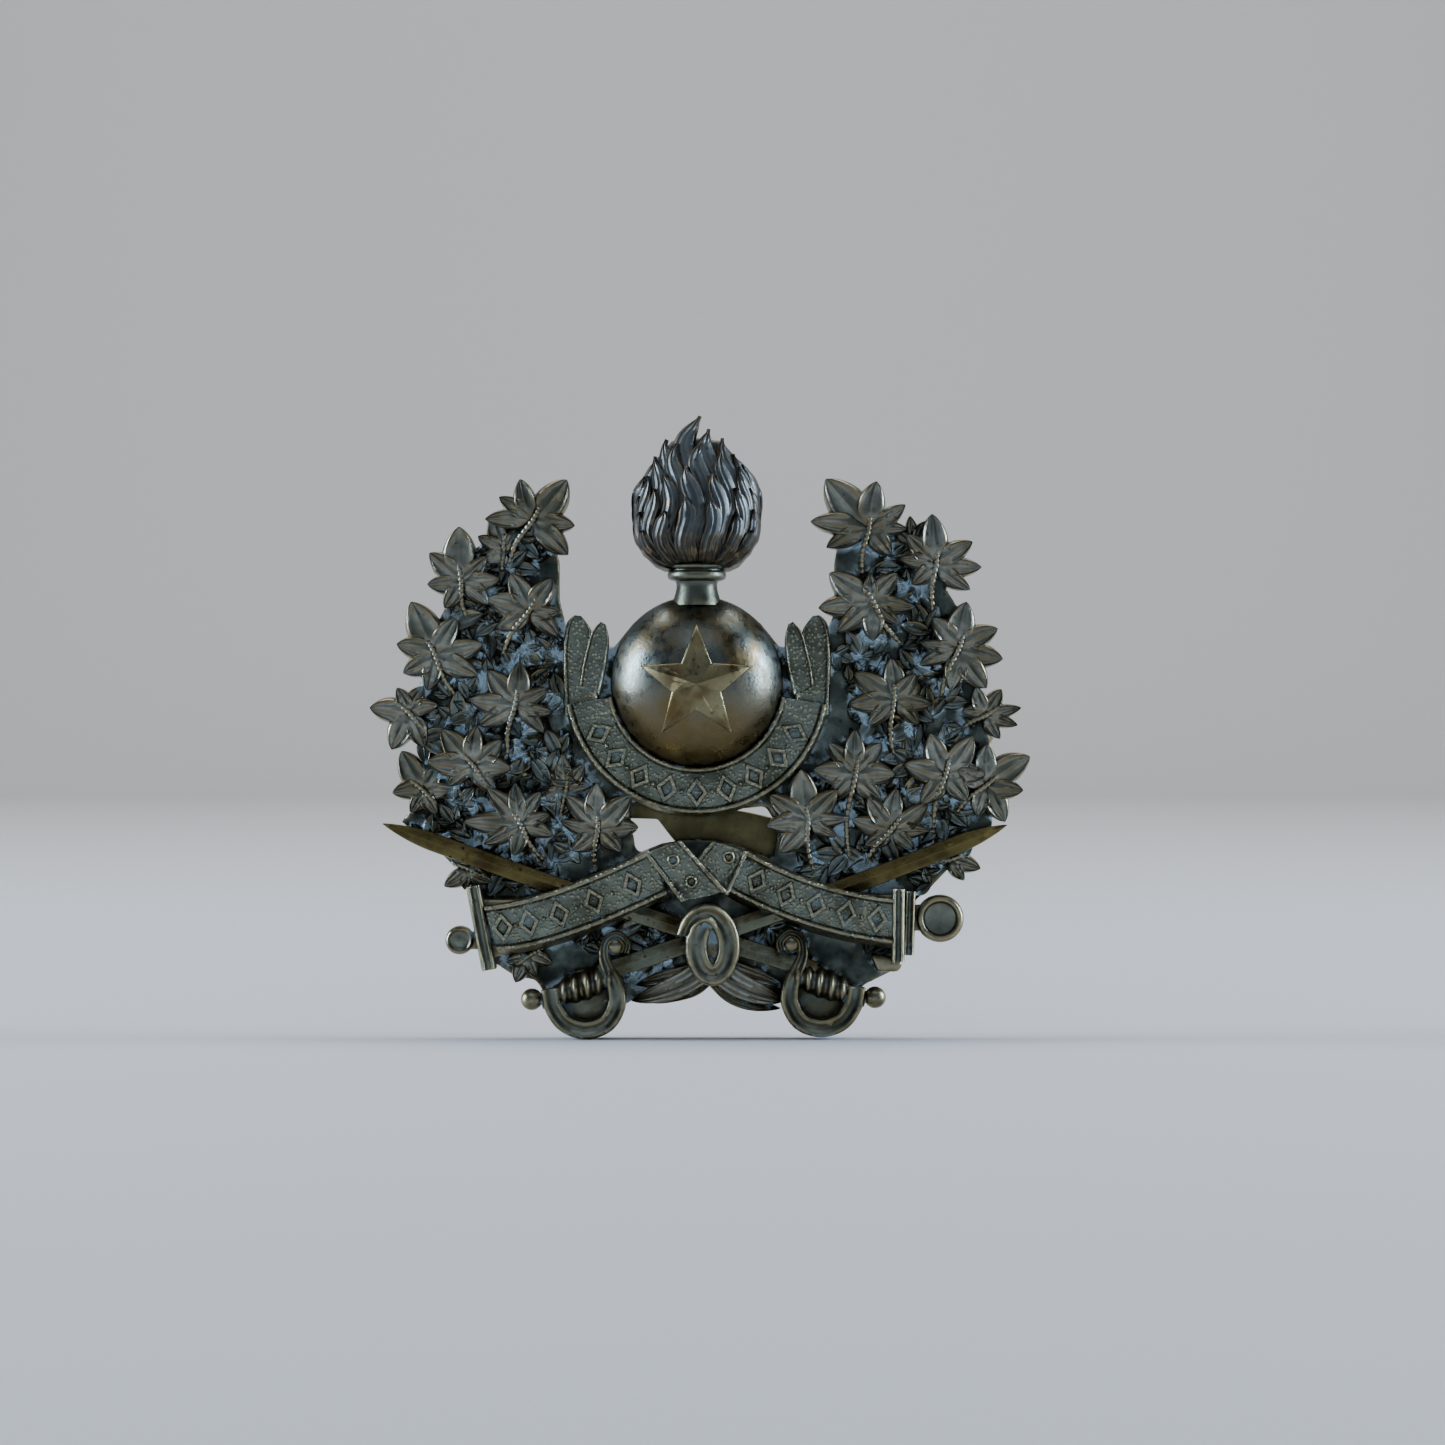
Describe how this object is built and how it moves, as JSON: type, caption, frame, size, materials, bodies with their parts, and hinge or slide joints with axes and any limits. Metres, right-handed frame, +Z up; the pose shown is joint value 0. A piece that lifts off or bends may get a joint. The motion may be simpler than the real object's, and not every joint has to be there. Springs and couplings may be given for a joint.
{
  "type": "cap badge",
  "caption": "Die-struck brass cap badge: leafy wreath, flaming grenade with a star, crossed sabres and ribbon, with two lugs and a split pin behind.",
  "frame": {"origin": "on the back plane of the badge, midway between the two lugs' shanks", "axes": "+Z up as worn, +X to the right for a person looking at the face, face towards -Y, cap towards +Y"},
  "size_m": [0.0498, 0.0131, 0.0468],
  "materials": {
    "aged_brass": "die-struck brass, dark olive patina, worn bright on edges",
    "leaf_brass": "die-struck brass, dark patina with pale polish left in the hollows",
    "worn_brass": "struck brass dome, worn smooth, golden brown low down",
    "flame_brass": "struck brass, grey-brown patina, bright ridges",
    "stippled_brass": "struck brass with a stippled ground and plain raised rims",
    "blade_brass": "smooth struck brass, golden brown",
    "back_brass": "dull sheet brass",
    "copper_wire": "drawn copper wire, dull brown",
    "solder": "dull soft solder",
    "pin_brass": "half-round brass wire, lightly tarnished"
  },
  "bodies": {
    "badge": {"wreath_plate": "aged_brass", "left_leaves": "leaf_brass", "right_leaves": "leaf_brass", "grenade_ball": "worn_brass", "grenade_star": "worn_brass", "grenade_neck": "aged_brass", "grenade_flame": "flame_brass", "grenade_wires": "copper_wire", "scroll_band": "stippled_brass", "scroll_left_curl": "stippled_brass", "scroll_right_curl": "stippled_brass", "ribbon_left_arm": "stippled_brass", "ribbon_right_arm": "stippled_brass", "ribbon_front_fold": "stippled_brass", "ribbon_back_fold": "stippled_brass", "gun_breech": "aged_brass", "gun_cascabel": "aged_brass", "gun_muzzle": "aged_brass", "gun_muzzle_ring": "aged_brass", "left_sabre_blade": "blade_brass", "left_sabre_hilt": "aged_brass", "right_sabre_blade": "blade_brass", "right_sabre_hilt": "aged_brass", "tie_ring": "aged_brass", "left_sprig": "leaf_brass", "right_sprig": "leaf_brass", "back_brace": "back_brass", "left_lug": "copper_wire", "right_lug": "copper_wire", "lug_solder": "solder"},
    "pin": {"split_pin": "pin_brass"}
  },
  "joints": [
    {"name": "pin_slide", "type": "slide", "parent": "badge", "child": "pin", "axis": [1, 0, 0], "range_m": [0, 0.038]}
  ]
}
